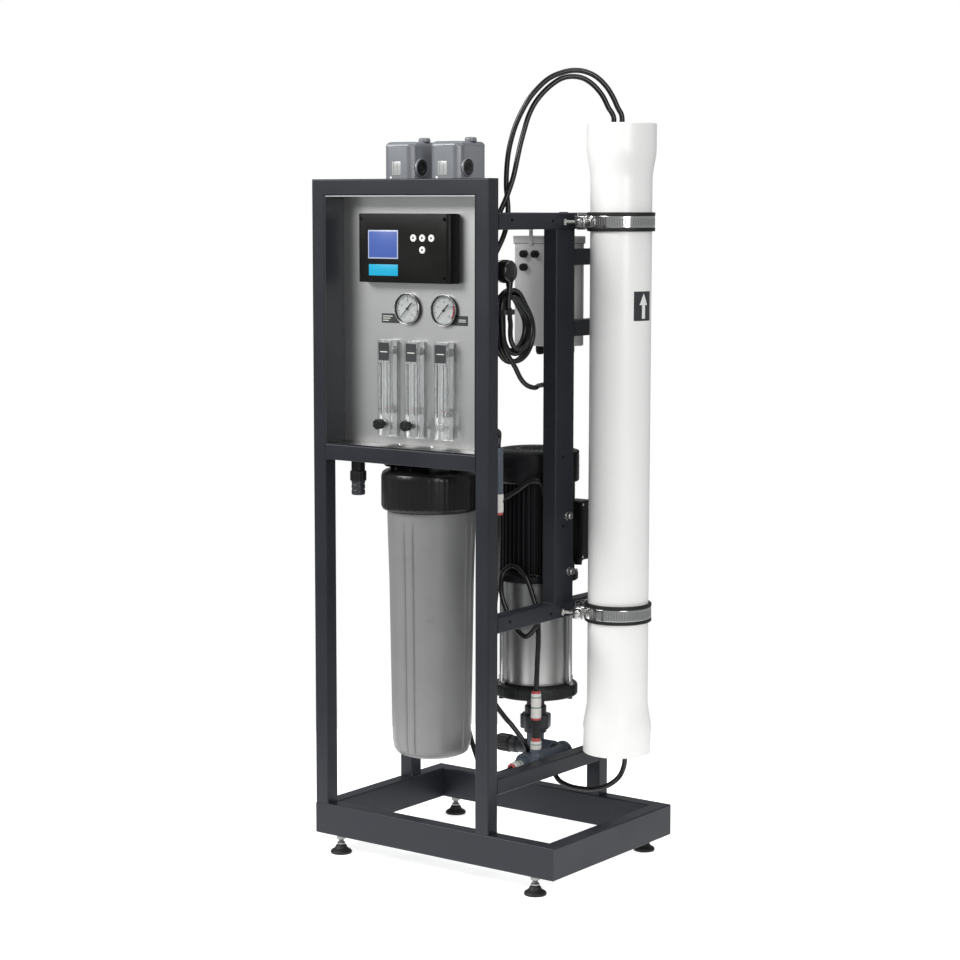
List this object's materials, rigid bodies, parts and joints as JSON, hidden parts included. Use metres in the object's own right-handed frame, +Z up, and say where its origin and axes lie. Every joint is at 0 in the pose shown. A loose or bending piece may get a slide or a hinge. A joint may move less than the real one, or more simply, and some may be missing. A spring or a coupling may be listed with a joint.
{
  "type": "reverse osmosis water treatment unit",
  "caption": "Upright reverse osmosis skid: square-tube frame with a control tray, prefilter housing, vertical pump and one tall membrane vessel.",
  "frame": {"origin": "on the floor, under the centre of the base", "axes": "+Z up, -Y is the front with the control tray, +X is the side that carries the membrane vessel"},
  "size_m": [0.555, 0.404, 1.4822],
  "materials": {
    "frame_paint": "satin dark slate powder coat",
    "foot_rubber": "matte black",
    "tray_steel": "fine horizontal brush",
    "controller_black": "smooth black",
    "key_white": "white ring with a dark centre",
    "gauge_black": "satin black rim",
    "needle_red": "matte black",
    "clear_acrylic": "polished clear acrylic",
    "float_red": "red",
    "knob_black": "fine knurl",
    "switch_grey": "smooth grey",
    "filter_black": "moulded black with ribs",
    "sump_grey": "satin mid grey",
    "cartridge_white": "wound fibre",
    "vessel_white": "satin off-white gel coat",
    "element_white": "wrapped film",
    "plug_black": "moulded black",
    "clamp_steel": "bright stainless",
    "motor_black": "black paint",
    "rotor_steel": "turned steel",
    "pump_steel": "stainless sleeve on a black base",
    "box_grey": "light grey moulded box",
    "pipe_grey": "grey pressure pipe with white push fittings",
    "hose_black": "satin black tube",
    "cable_black": "black flex"
  },
  "bodies": {
    "skid": {"base_rail_front": "frame_paint", "base_rail_rear": "frame_paint", "base_rail_left": "frame_paint", "base_rail_right": "frame_paint", "post_front_left": "frame_paint", "post_front_right": "frame_paint", "beam_top_front": "frame_paint", "beam_mid_front": "frame_paint", "bar_top_right": "frame_paint", "post_rear_right": "frame_paint", "bar_lower_right": "frame_paint", "beam_low_right": "frame_paint", "post_mid_right": "frame_paint", "rung_upper": "frame_paint", "rung_lower": "frame_paint", "post_rear_left": "frame_paint", "beam_cross_top": "frame_paint", "instrument_panel": "tray_steel", "controller_housing": "controller_black", "gauge_1_case": "gauge_black", "gauge_2_case": "gauge_black", "rotameter_1_body": "clear_acrylic", "rotameter_2_body": "clear_acrylic", "rotameter_3_body": "clear_acrylic", "pressure_switch_1": "switch_grey", "pressure_switch_2": "switch_grey", "filter_head": "filter_black", "membrane_vessel": "vessel_white", "membrane_element": "element_white", "end_plug_top": "plug_black", "end_plug_bottom": "plug_black", "vessel_clamp_upper": "clamp_steel", "vessel_clamp_lower": "clamp_steel", "pump_motor": "motor_black", "pump_body": "pump_steel", "electrical_box": "box_grey", "pump_pipework": "pipe_grey", "hose_top_outer": "hose_black", "hose_top_inner": "hose_black", "mains_cable": "cable_black", "cable_hank": "cable_black", "mains_plug": "cable_black"},
    "key_1": {"controller_key_1": "key_white"},
    "key_2": {"controller_key_2": "key_white"},
    "key_3": {"controller_key_3": "key_white"},
    "key_4": {"controller_key_4": "key_white"},
    "needle_1": {"gauge_1_needle": "needle_red"},
    "needle_2": {"gauge_2_needle": "needle_red"},
    "float_1": {"rotameter_1_float": "float_red"},
    "float_2": {"rotameter_2_float": "float_red"},
    "float_3": {"rotameter_3_float": "float_red"},
    "valve_knob_1": {"rotameter_1_knob": "knob_black"},
    "valve_knob_2": {"rotameter_2_knob": "knob_black"},
    "pump_rotor": {"pump_rotor": "rotor_steel"},
    "cartridge": {"filter_cartridge": "cartridge_white"},
    "sump": {"filter_sump": "sump_grey"},
    "foot_front_left": {"levelling_foot_front_left": "foot_rubber"},
    "foot_front_right": {"levelling_foot_front_right": "foot_rubber"},
    "foot_rear_left": {"levelling_foot_rear_left": "foot_rubber"},
    "foot_rear_right": {"levelling_foot_rear_right": "foot_rubber"}
  },
  "joints": [
    {"name": "key_1_press", "type": "slide", "parent": "skid", "child": "key_1", "axis": [0, 1, 0], "range_m": [0, 0.001], "stiffness_N_per_m": 900},
    {"name": "key_2_press", "type": "slide", "parent": "skid", "child": "key_2", "axis": [0, 1, 0], "range_m": [0, 0.001], "stiffness_N_per_m": 900},
    {"name": "key_3_press", "type": "slide", "parent": "skid", "child": "key_3", "axis": [0, 1, 0], "range_m": [0, 0.001], "stiffness_N_per_m": 900},
    {"name": "key_4_press", "type": "slide", "parent": "skid", "child": "key_4", "axis": [0, 1, 0], "range_m": [0, 0.001], "stiffness_N_per_m": 900},
    {"name": "needle_1_turn", "type": "hinge", "parent": "skid", "child": "needle_1", "pos_m": [-0.0908, -0.1485, 1.043], "axis": [0, 1, 0], "range_deg": [0, 270], "stiffness_Nm_per_rad": 0.002},
    {"name": "needle_2_turn", "type": "hinge", "parent": "skid", "child": "needle_2", "pos_m": [-0.006, -0.1485, 1.042], "axis": [0, 1, 0], "range_deg": [0, 270], "stiffness_Nm_per_rad": 0.002},
    {"name": "float_1_rise", "type": "slide", "parent": "skid", "child": "float_1", "axis": [0, 0, 1], "range_m": [0, 0.1]},
    {"name": "float_2_rise", "type": "slide", "parent": "skid", "child": "float_2", "axis": [0, 0, 1], "range_m": [0, 0.1]},
    {"name": "float_3_rise", "type": "slide", "parent": "skid", "child": "float_3", "axis": [0, 0, 1], "range_m": [0, 0.1]},
    {"name": "valve_knob_1_turn", "type": "hinge", "parent": "skid", "child": "valve_knob_1", "pos_m": [-0.1313, -0.1765, 0.83], "axis": [0, 1, 0], "range_deg": [-900, 900]},
    {"name": "valve_knob_2_turn", "type": "hinge", "parent": "skid", "child": "valve_knob_2", "pos_m": [-0.0675, -0.1765, 0.83], "axis": [0, 1, 0], "range_deg": [-900, 900]},
    {"name": "pump_spin", "type": "hinge", "parent": "skid", "child": "pump_rotor", "pos_m": [0.0215, 0.1095, 0.535], "axis": [0, 0, 1], "continuous": true},
    {"name": "sump_lower", "type": "slide", "parent": "skid", "child": "cartridge", "axis": [0, 0, -1], "range_m": [0, 0.0181]},
    {"name": "sump_unscrew", "type": "hinge", "parent": "cartridge", "child": "sump", "pos_m": [-0.0725, -0.0975, 0.435], "axis": [0, 0, -1], "range_deg": [0, 1080]},
    {"name": "foot_front_left_turn", "type": "hinge", "parent": "skid", "child": "foot_front_left", "pos_m": [-0.2275, -0.1815, 0.015], "axis": [0, 0, 1], "range_deg": [-1800, 1800]},
    {"name": "foot_front_right_turn", "type": "hinge", "parent": "skid", "child": "foot_front_right", "pos_m": [0.2275, -0.1815, 0.015], "axis": [0, 0, 1], "range_deg": [-1800, 1800]},
    {"name": "foot_rear_left_turn", "type": "hinge", "parent": "skid", "child": "foot_rear_left", "pos_m": [-0.2275, 0.1815, 0.015], "axis": [0, 0, 1], "range_deg": [-1800, 1800]},
    {"name": "foot_rear_right_turn", "type": "hinge", "parent": "skid", "child": "foot_rear_right", "pos_m": [0.2275, 0.1815, 0.015], "axis": [0, 0, 1], "range_deg": [-1800, 1800]}
  ],
  "couplings": [
    {"joint": "sump_lower", "follows": "sump_unscrew", "m_per_rad": 0.00095493}
  ]
}
